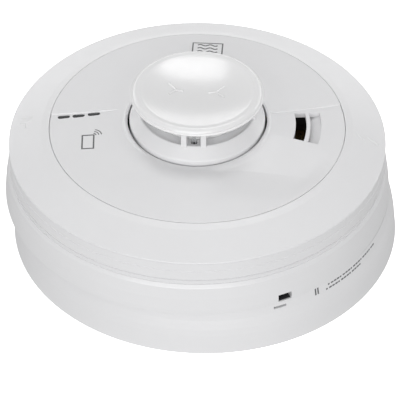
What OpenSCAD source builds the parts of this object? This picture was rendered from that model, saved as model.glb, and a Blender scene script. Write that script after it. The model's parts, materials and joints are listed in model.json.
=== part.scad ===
// Ceiling smoke alarm on a slide-on mounting plate.
// Origin: middle of the mounting plate's ceiling face. +Z runs out through the button cap, and +X is the
// way the head slides home. The head stands short of home by head_offset, as it is stored.

/* [Mounting plate] */
// Diameter of the plate's foot, the widest part of the alarm
plate_d = 141; // [139:0.5:145]
// Height of the plate's wall
plate_h = 17.5; // [17:0.1:17.6]
// Diameter at the top of the plate's wall
plate_top_d = 134.6; // [132:0.5:137]
// Thickness of the plate's floor
plate_floor = 2.4; // [2:0.2:3]
// Distance between the two fixing screws
fixing_spacing = 60; // [56:1:62]
// Diameter of a fixing hole
fixing_hole_d = 4.6; // [4:0.2:5]
// Diameter of the cable entry
cable_entry_d = 18; // [14:1:20]
// Distance of the cable entry from the plate's middle
cable_entry_x = 44; // [42:1:46]

/* [Head] */
// How far the head stands short of its home position
head_offset = 2.8; // [2:0.1:3]
// Height of the skirt's lower edge
skirt_z = 18; // [18:0.1:18.2]
// Diameter of the skirt's lower edge
skirt_d = 140.2; // [139:0.2:141]
// Height of the ledge between rear housing and front cover
ledge_z = 30.7; // [30:0.1:31]
// Diameter of the front cover
cover_d = 136.1; // [135:0.1:137]
// Height of the front cover's rim
rim_z = 40.3; // [40:0.1:41]
// Diameter of the seam round the fascia
seam_d = 106.6; // [105:0.2:108]
// Height of the fascia at the seam
seam_z = 45.9; // [45.5:0.1:46.2]
// Height of the fascia's collar round the button, at the back
collar_z = 49; // [48.8:0.1:49.2]
// Height of the fascia's low front beside the button
front_z = 47.3; // [47.1:0.1:47.4]
// How far the pad and the light strip lie below the fascia's back half
pad_drop = 0.36; // [0.3:0.02:0.4]
// Wall thickness of the head's shells
shell_t = 2; // [1.8:0.1:2.2]

/* [Button] */
// Diameter of the hole that the button moves in
button_hole_d = 50.2; // [50:0.1:50.6]
// Outer diameter of the button's guard
guard_d = 48.8; // [48.4:0.2:49]
// Height of the guard's outer edge
guard_edge_z = 49.5; // [49.3:0.1:49.7]
// Diameter of the guard's open mouth
guard_mouth_d = 39.8; // [39.6:0.1:40]
// Height of the guard's mouth
guard_top_z = 53.2; // [53:0.1:53.4]
// Diameter of the cap
cap_d = 48; // [47.6:0.2:48.4]
// Height of the cap's lower edge
cap_low_z = 59.9; // [59.7:0.1:60.1]
// Height of the cap's crest, the top of the alarm
cap_top_z = 62.1; // [62:0.1:62.4]
// Depth of the dish in the cap
dish_depth = 3.1; // [2.8:0.1:3.2]
// Travel of the button
button_travel = 1.2; // [1:0.1:1.3]

/* [Sounder] */
// Distance of the sounder from the head's middle
sounder_r = 37.5; // [37:0.5:38]
// Outer diameter of the sounder horn
sounder_d = 25; // [23:0.5:25]
// Half angle that the sound slots cover
slot_half_angle = 11.5; // [10:0.5:12]

/* [Hidden] */
$fn = 96;
GAP = 0.05;
TINY = 0.01;

WHITE = "whitesmoke";
BLACK = "#1d1d20";
BRASS = "#c9a24a";
STEEL = "#b9bcc0";

head_x = -head_offset;
plate_wall = 2.2;
rail_top = 16.6;
rail_inner_y = 40.5;
rail_upright_y = 43.5;
rail_outer_y = 45.5;
rail_lip_z = 14.4;

// Terminal block, in the plate's frame
block_x = 2;
block_l = 18;
block_w = 32;
block_z = plate_floor + GAP;
block_h = 10.2;
socket_z = 7.6;
pole_pitch = 7;
POLES = [for (i = [-1.5:1:1.5]) i * pole_pitch];
pin_r = 1;
pin_tip_x = 8.5;
plug_x = -20;
plug_l = 14;
plug_w = 30;
flap_z = block_z + block_h + 0.5;
flap_hinge_x = block_x + block_l + 1.9;
ear_y = block_w / 2 + 0.6;
trunnion_r = 0.7;
clamp_x = 28;
clamp_y = 10;
clamp_post_z = 8.2;

// Head, levels and radii
floor_z = 18.4;
floor_t = 2;
skirt_r = skirt_d / 2;
cover_r = cover_d / 2;
seam_r = seam_d / 2;
hole_r = button_hole_d / 2;
board_z = 24;
board_t = 1.6;
board_top = board_z + board_t;
board_r = 61;
boss_r = 58.5;
BOSS_ANGLES = [45, 135, 225, 318];
POST_AT = [[12, 49], [-48, -12], [20, -44]];
CELL_AT = [[-30, -28], [-3, -44]];

// Tool slot and release catch, at an angle round the head
catch_angle = -60.5;
tool_slot_w = 5.2;
tool_slot_z = 18.6;
tool_slot_h = 2.9;

// Narrow slot through the plate's wall, below the tool slot
wall_slot_angle = -63.75;
wall_slot_w = 4.8;
wall_slot_z = 14.7;
wall_slot_h = 0.9;

// Plate's wall: how far it stands in from the foot, and at what height
WALL = [[0, 0], [0.2, 1.5], [0.5, 4.4], [0.85, 7.4], [1.3, 9.9], [1.9, 12], [2.35, 13.4],
    [(plate_d - plate_top_d) / 2, plate_h]];

// Light windows, from the rim side inwards: the middle of each, and how far all are turned
WINDOW_AT = [[-48.3, 1.4], [-43, 1.85], [-37.5, 2.6]];
window_tilt = 8;
window_l = 4.6;
window_w = 1.9;

// Sound slots, inner and outer radius of each
SLOTS = [[35.4, 39.3], [40.7, 44.6]];

horn_top = 41.8;

// Button parts
guard_r = guard_d / 2;
mouth_r = guard_mouth_d / 2;
cap_r = cap_d / 2;
rib_t = 1.9;
rib_half_angle = 9.4;
screen_r = 16.6;
screen_z = 52.8;
bead_r = 18;
bead_z = 56.5;
chamber_r = 16.2;
chamber_z = board_top + GAP;
switch_angle = 135;
switch_r = 22.4;
switch_gap = 0.75 * button_travel + GAP;
plunger_top = 31.6;

// Points of an arc about (cx, cy)
function arc(cx, cy, r, a0, a1, n = 6) =
    [for (i = [0:n]) [cx + r * cos(a0 + (a1 - a0) * i / n), cy + r * sin(a0 + (a1 - a0) * i / n)]];

module in_head() translate([head_x, 0, 0]) children();
module at_angle(a) rotate([0, 0, a]) children();
module box(x0, x1, y0, y1, z0, z1) translate([x0, y0, z0]) cube([x1 - x0, y1 - y0, z1 - z0]);
module tube(r_out, r_in, z0, z1) translate([0, 0, z0]) difference() {
    cylinder(r = r_out, h = z1 - z0);
    translate([0, 0, -1]) cylinder(r = r_in, h = z1 - z0 + 2);
}
module rod(r, z0, z1) translate([0, 0, z0]) cylinder(r = r, h = z1 - z0);
module rod_x(r, x0, x1) translate([x0, 0, 0]) rotate([0, 90, 0]) cylinder(r = r, h = x1 - x0);

// A ring sector from a0 to a1 degrees
module sector(r_in, r_out, a0, a1, z0, z1) translate([0, 0, z0]) linear_extrude(z1 - z0)
    intersection() {
        difference() {
            circle(r = r_out);
            circle(r = r_in);
        }
        polygon([[0, 0], [2 * r_out * cos(a0), 2 * r_out * sin(a0)],
            [2 * r_out, 0], [2 * r_out * cos(a1), 2 * r_out * sin(a1)]]);
    }

// Pan-head screw with a cross recess, head at the top, shank down from z = 0
module screw(shank_r, shank_l, head_r, head_h) {
    difference() {
        union() {
            rod(head_r, 0, head_h);
            rod(shank_r, -shank_l, TINY);
        }
        box(-head_r * 0.7, head_r * 0.7, -0.35, 0.35, head_h * 0.4, head_h + 1);
        box(-0.35, 0.35, -head_r * 0.7, head_r * 0.7, head_h * 0.4, head_h + 1);
    }
}

/* ---------- mounting plate ---------- */

module mounting_plate() color(WHITE) {
    foot_r = plate_d / 2;
    inner_r = plate_top_d / 2 - plate_wall;
    difference() {
        union() {
            rotate_extrude() polygon(concat([[0, 0]], [for (p = WALL) [foot_r - p[0], p[1]]],
                [[inner_r, plate_h], [inner_r, plate_floor], [0, plate_floor]]));
            translate([cable_entry_x, 0, 0]) rod(cable_entry_d / 2 + 2, 0, 5);
            for (s = [-1, 1]) translate([0, s * fixing_spacing / 2, 0]) rod(6, 0, 4);
            for (s = [-1, 1]) mirror([0, s < 0 ? 1 : 0, 0]) plate_rail();
            for (s = [-1, 1]) translate([clamp_x, s * clamp_y, 0]) rod(3, 0, clamp_post_z);
            for (x = [block_x - 1.6, block_x + block_l + 0.1], s = [-1, 1])
                box(x, x + 1.5, s * 12 - 2, s * 12 + 2, 1, 5.5);
            keeper();
            tube(58, 56.8, 1, plate_floor + 0.8);
        }
        translate([cable_entry_x, 0, 0]) rod(cable_entry_d / 2, -1, 6);
        for (s = [-1, 1]) translate([0, s * fixing_spacing / 2, 0]) rod(fixing_hole_d / 2, -1, 5);
        for (s = [-1, 1]) translate([clamp_x, s * clamp_y, 0]) rod(1.05, 3, clamp_post_z + 1);
        at_angle(wall_slot_angle) box(inner_r - 1, foot_r, -wall_slot_w / 2, wall_slot_w / 2,
            wall_slot_z, wall_slot_z + wall_slot_h);
    }
}

// One slide rail: an upright with a lip that holds the head's hooks
module plate_rail() {
    box(-45, 40, rail_upright_y, rail_outer_y, 1, rail_top);
    box(-45, 40, rail_inner_y, rail_outer_y, rail_lip_z, rail_top);
    for (x = [-44, -3, 37]) box(x, x + 2, rail_outer_y - TINY, rail_outer_y + 3, 1, 12);
}

// Nib that the release catch snaps behind when the head is home
module keeper() in_head() at_angle(catch_angle) box(54, 57, -3, 3, 1, 13.8);

module terminal_block() color("gainsboro") difference() {
    union() {
        box(block_x, block_x + block_l, -block_w / 2, block_w / 2, block_z, block_z + block_h);
        for (s = [-1, 1]) mirror([0, s < 0 ? 1 : 0, 0]) {
            box(block_x + block_l - 5, block_x + block_l, block_w / 2 - TINY, ear_y + 1.4, 9, flap_z - 0.6);
            box(block_x + block_l - 2, flap_hinge_x + 1.8, ear_y, ear_y + 1.4, 9, flap_z + 1.6);
        }
    }
    translate([flap_hinge_x, ear_y + 3, flap_z]) rotate([90, 0, 0])
        cylinder(r = trunnion_r + GAP, h = 2 * ear_y + 6);
    for (y = POLES) translate([0, y, 0]) {
        box(block_x + 2.4, block_x + block_l - 2, -2.75, 2.75, block_z + 1.5, block_z + block_h - 1);
        translate([0, 0, socket_z]) rod_x(1.6, block_x - 1, block_x + 3);
        translate([0, 0, socket_z]) rod_x(2.3, block_x + block_l - 3, block_x + block_l + 1);
        translate([block_x + block_l - 5.5, 0, 0]) rod(2.4, block_z + block_h - 2, block_z + block_h + 1);
    }
}

// Brass contacts, each with a plug socket, a wire hole and a screw hole
module terminal_contacts() color(BRASS) for (y = POLES) translate([0, y, 0]) difference() {
    box(block_x + 2.5, block_x + block_l - 2.1, -2.65, 2.65, block_z + 1.6, block_z + block_h - 1.1);
    translate([0, 0, socket_z]) rod_x(pin_r + 0.08, block_x, block_x + 10.2);
    translate([0, 0, socket_z]) rod_x(1.9, block_x + block_l - 6, block_x + block_l);
    translate([block_x + block_l - 5.5, 0, 0]) rod(1.3, socket_z, block_z + block_h);
}

module terminal_screws() color(STEEL) for (y = POLES)
    translate([block_x + block_l - 5.5, y, block_z + block_h - 1]) difference() {
        union() {
            rod(2.1, GAP, 1.4);
            rod(1.25, -2.4, 0.1);
        }
        box(-2.3, 2.3, -0.3, 0.3, 0.8, 2);
    }

// Flap over the terminals, turning on trunnions beside the wire entries
module terminal_cover() color("gainsboro") {
    half_w = ear_y - 0.2;
    box(block_x - 0.5, flap_hinge_x, -half_w, half_w, flap_z, flap_z + 1.2);
    translate([flap_hinge_x, half_w, flap_z]) rotate([90, 0, 0]) cylinder(r = 1.2, h = 2 * half_w);
    translate([flap_hinge_x, ear_y + 1.3, flap_z]) rotate([90, 0, 0])
        cylinder(r = trunnion_r, h = 2 * ear_y + 2.6);
    box(block_x - 1.6, block_x - 0.4, -5, 5, flap_z - 2.5, flap_z + 1.2);
}

module cable_clamp() color("gainsboro") difference() {
    union() {
        box(clamp_x - 2.5, clamp_x + 2.5, -clamp_y - 3, clamp_y + 3, clamp_post_z + GAP, clamp_post_z + 2.2);
        for (x = [-1.9, 0.9]) box(clamp_x + x, clamp_x + x + 1, -5, 5, clamp_post_z - 0.6, clamp_post_z + 1);
    }
    for (s = [-1, 1]) translate([clamp_x, s * clamp_y, 0]) rod(1.3, clamp_post_z - 1, clamp_post_z + 3);
}

module cable_clamp_screws() color(STEEL) for (s = [-1, 1])
    translate([clamp_x, s * clamp_y, clamp_post_z + 2.25]) screw(1, 6.2, 2.2, 1.5);

/* ---------- head, fixed parts ---------- */

module rear_housing() color(WHITE) in_head() {
    wall_in = skirt_r - 3.4;
    difference() {
        union() {
            rotate_extrude() polygon(concat([[0, floor_z], [wall_in - 1, floor_z], [wall_in, skirt_z]],
                [[skirt_r - 0.3, skirt_z], [skirt_r, skirt_z + 0.3], [skirt_r - 0.05, 20],
                    [skirt_r - 0.25, 22], [skirt_r - 0.5, 24.5], [skirt_r - 0.9, 27],
                    [skirt_r - 1.2, ledge_z - 1.6], [skirt_r - 1.4, ledge_z - 1.2],
                    [cover_r + 0.2, ledge_z - 0.1], [cover_r - 0.05, ledge_z],
                    [cover_r - 2.2, ledge_z], [wall_in, 29],
                    [wall_in, floor_z + floor_t], [0, floor_z + floor_t]]));
            for (s = [-1, 1], x = [-27, 13]) mirror([0, s < 0 ? 1 : 0, 0]) slide_hook(x);
            for (p = POST_AT) translate([p[0], p[1], 0]) rod(3, floor_z, board_z - GAP);
            for (s = [-1, 1]) at_angle(catch_angle)
                box(56.5, wall_in + 0.5, s > 0 ? 3.6 : -4.8, s > 0 ? 4.8 : -3.6, floor_z, 23.5);
        }
        for (p = POST_AT) translate([p[0], p[1], 0]) rod(1.05, floor_z + 1, board_z + 1);
        for (a = BOSS_ANGLES) at_angle(a) translate([boss_r, 0, 0]) {
            rod(1.6, floor_z - 1, floor_z + 3);
            rod(3.1, floor_z - 1, floor_z + 0.9);
        }
        box(plug_x + head_offset - 0.3, plug_x + plug_l + head_offset + 0.3,
            -plug_w / 2 - 0.3, plug_w / 2 + 0.3, floor_z - 1, floor_z + 3);
        at_angle(catch_angle) {
            box(wall_in - 1, skirt_r + 1, -tool_slot_w / 2, tool_slot_w / 2,
                tool_slot_z, tool_slot_z + tool_slot_h);
            box(57.2, wall_in - 0.2, -2.6, 2.6, floor_z - 1, floor_z + 3);
        }
    }
}

// Hook under the head that runs below the plate's rail lip
module slide_hook(x) {
    wall_y = 37.9;
    box(x, x + 14, wall_y, wall_y + 2, 11.6, floor_z + 0.5);
    box(x, x + 14, wall_y, wall_y + 5.2, 11.6, 13.9);
}

module plug_housing() color("gainsboro") difference() {
    union() {
        box(plug_x, plug_x + plug_l, -plug_w / 2, plug_w / 2, 4.6, 22);
        box(plug_x - 2, plug_x + plug_l + 2, -plug_w / 2 - 2, plug_w / 2 + 2,
            floor_z + floor_t + GAP, 22);
    }
    for (y = POLES) translate([0, y, 0]) {
        translate([0, 0, socket_z]) rod_x(pin_r + GAP, -15, 0);
        translate([-15, 0, 0]) rod(pin_r + GAP, socket_z - pin_r - GAP, 23);
    }
}

// Plug pins: each comes down from the board and turns towards the terminals
module plug_pins() color(BRASS) for (y = POLES) translate([0, y, 0]) {
    translate([0, 0, socket_z]) rod_x(pin_r, -15, pin_tip_x);
    translate([-15, 0, 0]) rod(pin_r, socket_z - pin_r, board_z - GAP);
}

// Sprung latch behind the tool slot, with a tooth that reaches down to the plate's keeper
module release_catch() color(BLACK) in_head() at_angle(catch_angle) {
    low_z = floor_z + floor_t + 0.1;
    box(58.6, 66.2, -2.2, 2.2, low_z, 23.3);
    box(58.6, 60.6, -3.4, 3.4, low_z, 23.3);
    box(64.4, 66.2, -2.2, 2.2, tool_slot_z, low_z + TINY);
    box(59.4, 61.4, -2.2, 2.2, 14.2, low_z + TINY);
}

module circuit_board() color("#1f6b3c") in_head() difference() {
    rod(board_r, board_z, board_top);
    for (a = BOSS_ANGLES) at_angle(a) translate([boss_r, 0, 0]) rod(4.2, board_z - 1, board_top + 1);
    for (p = POST_AT) translate([p[0], p[1], 0]) rod(1.4, board_z - 1, board_top + 1);
    at_angle(catch_angle) box(54, 70, -6, 6, board_z - 1, board_top + 1);
}

module board_screws() color(STEEL) in_head() for (p = POST_AT)
    translate([p[0], p[1], board_top + GAP]) screw(1, 5.5, 2.4, 1.6);

module mains_transformer() in_head() translate([-10, 38, board_top + GAP]) {
    color("#2a2a2c") {
        box(-9, 9, -7.5, 7.5, 0, 2.4);
        box(-9, 9, -7.5, 7.5, 9.6, 12);
    }
    color("#e0b52c") box(-7.6, 7.6, -6.2, 6.2, 2.4, 9.6);
}

module filter_capacitors() in_head() {
    color("#d9a321") box(16, 33, 30, 37, board_top + GAP, board_top + 11);
    color("#23344f") for (p = [[-30, 33], [-41, 22]]) translate([p[0], p[1], 0])
        rod(4.6, board_top + GAP, board_top + 12);
}

module control_chips() color(BLACK) in_head() {
    box(20, 28, -32, -24, board_top + GAP, board_top + 1.4);
    box(-30, -24, 6, 11, board_top + GAP, board_top + 1.6);
    box(28, 34, 18, 24, board_top + GAP, board_top + 1.2);
    box(-8, 0, 22, 27, board_top + GAP, board_top + 1.6);
}

module backup_cells() color(STEEL) in_head() for (p = CELL_AT)
    translate([p[0], p[1], 0]) {
        rod(11.6, board_top + 0.6, board_top + 3.6);
        rod(10.4, board_top + 3.6 - TINY, board_top + 4.2);
    }

// Sprung straps that hold the cells and carry their current
module cell_clips() color(BRASS) in_head() for (p = CELL_AT)
    translate([p[0], p[1], 0]) {
        box(-13, 13, -2.5, 2.5, board_top + 4.25, board_top + 4.75);
        for (s = [-1, 1]) mirror([s < 0 ? 1 : 0, 0, 0]) {
            box(12.5, 13, -2.5, 2.5, board_top + GAP, board_top + 4.75);
            box(12.5, 15, -2.5, 2.5, board_top + GAP, board_top + 0.4);
        }
    }

module status_leds() color("honeydew") in_head() for (p = WINDOW_AT)
    box(p[0] - 1, p[0] + 1, p[1] - 0.7, p[1] + 0.7, board_top + GAP, board_top + 0.9);

module rounded_slot(at, l, w, z0, z1) translate([at[0], at[1], z0]) at_angle(window_tilt)
    linear_extrude(z1 - z0) {
        square([l - w, w], center = true);
        for (s = [-1, 1]) translate([s * (l - w) / 2, 0]) circle(d = w);
    }

module light_pipe() color("#50565c") in_head() {
    for (p = WINDOW_AT)
        rounded_slot(p, window_l - 0.1, window_w - 0.1, board_top + 1.2, back_z(norm(p)) - pad_drop - 0.3);
    box(WINDOW_AT[0][0] - 1, WINDOW_AT[2][0] + 1, WINDOW_AT[1][1] - 2, WINDOW_AT[1][1] + 2, 40, 41.6);
}

/* ---------- smoke chamber and sensors ---------- */

module chamber_base() color(BLACK) in_head() {
    rod(chamber_r, chamber_z, chamber_z + 2);
    for (a = [0, 120, 240]) at_angle(a) translate([chamber_r - 1.5, 0, 0])
        rod(1, chamber_z, chamber_z + 3.4);
}

// Ring of bent vanes that let smoke in and keep light out, under a plain lid
module chamber_labyrinth() color(BLACK) in_head() {
    lid_z = chamber_z + 17;
    translate([0, 0, lid_z]) difference() {
        cylinder(r = chamber_r, h = 1.4);
        for (a = [0:45:315]) at_angle(a) translate([6, 0, -1]) cylinder(r = 1.6, h = 4);
    }
    tube(chamber_r, chamber_r - 0.8, lid_z - 1.6, lid_z + TINY);
    for (i = [0:17]) at_angle(20 * i + 7) translate([chamber_r - 2.6, 0, 0]) at_angle(38) {
        box(-1.6, 2.4, -0.4, 0.4, chamber_z + 4, lid_z + TINY);
        translate([-1.6, 0, 0]) at_angle(-70) box(-2.4, 0, -0.4, 0.4, chamber_z + 4, lid_z + TINY);
    }
}

// A 5 mm lens package that points at the middle of the chamber
module lens_part(a) in_head() at_angle(a) translate([9.5, 0, chamber_z + 6]) rotate([0, -90, 0]) {
    cylinder(r = 1.8, h = 3.4);
    translate([0, 0, 3.4]) sphere(r = 1.8);
    for (s = [-1, 1]) translate([0, s * 0.7, 0.4]) rotate([0, -90, 0]) cylinder(r = 0.25, h = 3.9);
}

module infrared_emitter() color("#39424f") lens_part(200);
module photodiode() color("#20242b") lens_part(330);

// Heat-sensing bead on two leads, standing in the button's open mouth
module heat_sensor() color("#85878a") in_head() translate([0, -bead_r, 0]) {
    translate([0, 0, bead_z]) sphere(r = 0.95);
    for (s = [-1, 1]) translate([s * 0.45, 0, 0]) rod(0.22, board_top + GAP, bead_z);
}

module sounder_horn() color(BLACK) in_head() translate([sounder_r, 0, 0]) difference() {
    rod(sounder_d / 2, board_top + GAP, horn_top);
    rod(sounder_d / 2 - 1.4, board_top + 4, horn_top + 1);
    for (a = [90, 270]) at_angle(a) translate([sounder_d / 2, 0, board_top + 7]) rotate([0, 90, 0])
        cylinder(r = 1.2, h = 6, center = true);
}

module piezo_disc() in_head() translate([sounder_r, 0, 0]) {
    color(BRASS) rod(sounder_d / 2 - 1.5, 36, 36.3);
    color("gainsboro") rod(8, 36.3, 36.5);
}

module test_switch() color(BLACK) in_head() at_angle(switch_angle) translate([switch_r, 0, 0]) difference() {
    box(-3, 3, -3, 3, board_top + GAP, board_top + 3.6);
    rod(1.55, board_top + 1.6, board_top + 5);
}

module switch_plunger() color("tan") in_head() at_angle(switch_angle) translate([switch_r, 0, 0])
    rod(1.4, board_top + 2.1, plunger_top);

/* ---------- covers ---------- */

// Height of the fascia's back half at radius r: a slow cone, then a cove up to the collar
collar_r = hole_r + 1.05;
cove_r = 34;
cone_rise = 2.3;
function back_z(r) = seam_z + cone_rise * (seam_r - r) / (seam_r - collar_r)
    + (collar_z - seam_z - cone_rise) * pow(max(0, cove_r - r) / (cove_r - collar_r), 2);

module front_cover() color(WHITE) in_head() {
    inner_r = cover_r - shell_t;
    ring_r = seam_r + 0.06;
    groove = 0.35;
    rotate_extrude() polygon([[cover_r, ledge_z + GAP], [cover_r + 0.1, 32.3], [cover_r - groove, 32.5],
        [cover_r + 0.05, 32.7], [cover_r, 36.1], [cover_r - groove, 36.4], [cover_r, 36.7],
        [cover_r, rim_z - 0.7], [cover_r - 0.3, rim_z - 0.5], [cover_r - 0.05, rim_z - 0.3],
        [cover_r - 0.3, rim_z], [cover_r - 0.9, rim_z + 0.25],
        [ring_r + 2.8, seam_z - 0.9], [ring_r + 0.14, seam_z - 0.1], [ring_r, seam_z - 0.22],
        [ring_r, 43.3], [ring_r - 2.6, 43.3], [ring_r - 2.6, 41.7], [ring_r + 1.4, 41.7],
        [inner_r, 37.2], [inner_r, ledge_z + GAP]]);
    for (a = BOSS_ANGLES) at_angle(a) translate([boss_r, 0, 0]) difference() {
        rod(3.6, floor_z + floor_t + GAP, 41);
        rod(1.55, floor_z, 38);
    }
}

// Lines between the fascia's fields, about the head's axis: BACK_LINE lies behind the light strip and the pad,
// and FRONT_LINE lies before them
BACK_LINE = [[-60, 2.3], [-44, 3.3], [-27.4, 4.6], [0, 4.6], [27.6, 6], [49.9, 14.3], [60, 18.1]];
FRONT_LINE = [[60, -18.5], [50.8, -15.2], [43.2, -11.1], [37.5, -8.3], [33, -6.5], [28.6, -6.3],
    [0, -6.3], [-15, 1], [-31.6, 0.7], [-44, -0.75], [-60, -2.5]];

// How far the bodies that shape the fascia reach beyond it, sideways and in height
FIELD_REACH = 60;
BASE_Z = 30;
FIELD_Z = [40, 52];
CUT_Z = [39, 53];
FRONT_CORNERS = [[-FIELD_REACH, -FIELD_REACH], [FIELD_REACH, -FIELD_REACH]];
overlap = 0.05;

// Upper outline of the back half, from the cove to the collar, lowered by drop
function back_points(drop) =
    [for (i = [0:12]) let (r = cove_r - (cove_r - collar_r - 0.9) * i / 12) [r, back_z(r) - drop]];

module field(outline) translate([0, 0, FIELD_Z[0]]) linear_extrude(FIELD_Z[1] - FIELD_Z[0])
    polygon(outline);

// Everything below a turned surface, or below a sloping plane through a point
module below_turned(upper) rotate_extrude()
    polygon(concat([[0, BASE_Z], [FIELD_REACH, BASE_Z], [FIELD_REACH, upper[0][1]]], upper,
        [[0, FIELD_Z[1]]]));
module below_plane(at, tilt_x, tilt_y) translate(at) rotate([tilt_x, tilt_y, 0])
    translate([-100, -100, -30]) cube([200, 200, 30]);

// Level of the pad and the light strip, and the level of the front
module below_sides() below_turned(concat([[seam_r, seam_z - pad_drop]], back_points(pad_drop),
    [[collar_r, collar_z], [collar_r - 0.3, collar_z + 1]]));
module below_front() below_turned([[seam_r, seam_z - overlap], [hole_r + 0.3, front_z],
    [hole_r, front_z - 0.2], [hole_r - 2, front_z - 1]]);

// Slope from the pad or from the light strip down to the front, between x0 and x1
module facet(at, tilt_x, tilt_y, x0, x1) intersection() {
    below_sides();
    below_plane(at, tilt_x, tilt_y);
    box(x0, x1, -FIELD_REACH, 3, CUT_Z[0], CUT_Z[1]);
}

// The fascia has its back half's turned shape, cut down to the lower fields at the sides and in front
module fascia_plate() difference() {
    rotate_extrude() polygon(concat(
        [[seam_r, 43.35], [seam_r, seam_z - 0.12], [seam_r - 0.12, seam_z]], back_points(0),
        [[collar_r, collar_z], [hole_r + 0.4, collar_z - 0.1], [hole_r, collar_z - 0.6], [hole_r, 45],
            [seam_r - 2.9, 44], [seam_r - 2.9, 43.35]]));
    difference() {
        field(concat(BACK_LINE, [FRONT_CORNERS[1], FRONT_CORNERS[0]]));
        intersection() {
            below_sides();
            field(concat(BACK_LINE, [for (p = FRONT_LINE) [p[0], p[1] - overlap]]));
        }
        intersection() {
            below_front();
            field(concat(FRONT_LINE, FRONT_CORNERS));
        }
        intersection() {
            union() {
                facet([27, -6.6, 48.3], 6.5, 4.1, 8, FIELD_REACH);
                facet([-27, 0, 48.2], 6.7, -5.4, -FIELD_REACH, -5);
            }
            field(concat(FRONT_LINE, FRONT_CORNERS));
        }
    }
    for (s = SLOTS) sector(s[0], s[1], -slot_half_angle, slot_half_angle,
        CUT_Z[0], CUT_Z[1]);
    for (p = WINDOW_AT) rounded_slot(p, window_l, window_w, CUT_Z[0], CUT_Z[1]);
}

// Sloping web below the outer sound slot, which turns the sound inwards and hides the board
module slot_web() {
    half_angle = slot_half_angle + 1.5;
    intersection() {
        rotate_extrude() polygon([[45.4, 43.9], [45.4, 44.7], [44.5, 45], [40.2, 43.6], [40.2, 42.8]]);
        sector(39, 47, -half_angle, half_angle, 42.2, 46);
    }
}

module fascia() color(WHITE) in_head() {
    fascia_plate();
    slot_web();
}

module housing_screws() color(STEEL) in_head() for (a = BOSS_ANGLES) at_angle(a)
    translate([boss_r, 0, floor_z + 0.85]) rotate([180, 0, 0]) screw(1.45, 15, 2.9, 0.8);

/* ---------- button ---------- */

module button_guard() color(WHITE) in_head() {
    slope_t = 1.5;
    rotate_extrude() polygon(concat(
        [[guard_r, 43.4]],
        arc(guard_r - 1, guard_edge_z - 0.7, 1, 0, 45, 4),
        arc(mouth_r + 0.7, guard_top_z - 0.7, 0.7, 45, 180, 6),
        [[mouth_r, guard_top_z - 1.8], [guard_r - slope_t, guard_edge_z - 1.8], [guard_r - slope_t, 43.4]]));
    for (q = [0:90:270], s = [-1, 1]) at_angle(q + s * rib_half_angle)
        box(mouth_r - 0.5, mouth_r + 1.5, -rib_t / 2, rib_t / 2, guard_top_z - 1.6, cap_low_z - 0.15);
    difference() {
        tube(mouth_r + 0.6, screen_r - 0.5, screen_z - 1.1, screen_z - 0.1);
        translate([0, -bead_r, 0]) rod(1.2, screen_z - 2, screen_z + 1);
    }
    for (a = [30, 150, 270]) at_angle(a) box(guard_r - 1, guard_r + 1.4, -4, 4, 43.4, 44.8);
    at_angle(switch_angle) box(switch_r - 1.1, switch_r + 1.1, -2, 2, plunger_top + switch_gap, 50);
}

// Fine cage round the smoke inlet, standing on the guard's inner ledge: upright wires between hoops
module insect_screen() color("#b9bab8") in_head() {
    top_z = cap_low_z - 0.7;
    hoop = 0.5;
    for (i = [0:4]) let (z = screen_z + (top_z - hoop - screen_z) * i / 4)
        tube(screen_r, screen_r - hoop, z, z + hoop);
    for (i = [0:47]) at_angle(7.5 * i) box(screen_r - 0.45, screen_r - 0.05, -0.2, 0.2, screen_z, top_z);
}

// Dished cap with a broad rolled rim
module button_cap() color(WHITE) in_head() {
    dish_r = 19.4;
    crest_r = 21.5;
    roll_r = 1.8;
    edge_r = 0.6;
    dish_rim_z = cap_top_z - 0.45;
    under_z = cap_low_z - 0.3;
    rotate_extrude() polygon(concat(
        [for (i = [0:12]) [dish_r * i / 12, dish_rim_z - dish_depth * (1 - pow(i / 12, 2))]],
        [[dish_r + 0.9, cap_top_z - 0.12]],
        arc(crest_r, cap_top_z - roll_r, roll_r, 90, 10, 8),
        arc(cap_r - edge_r, cap_low_z + edge_r, edge_r, 0, -90, 5),
        [[18.5, cap_low_z], [17.4, under_z], [0, dish_rim_z - dish_depth - 1.5]]));
}

mounting_plate();
terminal_block();
terminal_contacts();
terminal_screws();
terminal_cover();
cable_clamp();
cable_clamp_screws();
rear_housing();
plug_housing();
plug_pins();
release_catch();
circuit_board();
board_screws();
mains_transformer();
filter_capacitors();
control_chips();
backup_cells();
cell_clips();
status_leds();
light_pipe();
chamber_base();
chamber_labyrinth();
infrared_emitter();
photodiode();
heat_sensor();
sounder_horn();
piezo_disc();
test_switch();
switch_plunger();
front_cover();
fascia();
housing_screws();
button_guard();
insect_screen();
button_cap();
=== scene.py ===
"""Looks of a ceiling smoke alarm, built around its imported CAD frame.

The stage, its lights and its camera are in metres. The pieces made here are laid out in mm about the head's
axis, or about the plate's axis where a function says so, with z up from the ceiling face.
"""
import json
import math

import bmesh
import bpy
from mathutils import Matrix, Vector, geometry


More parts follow.
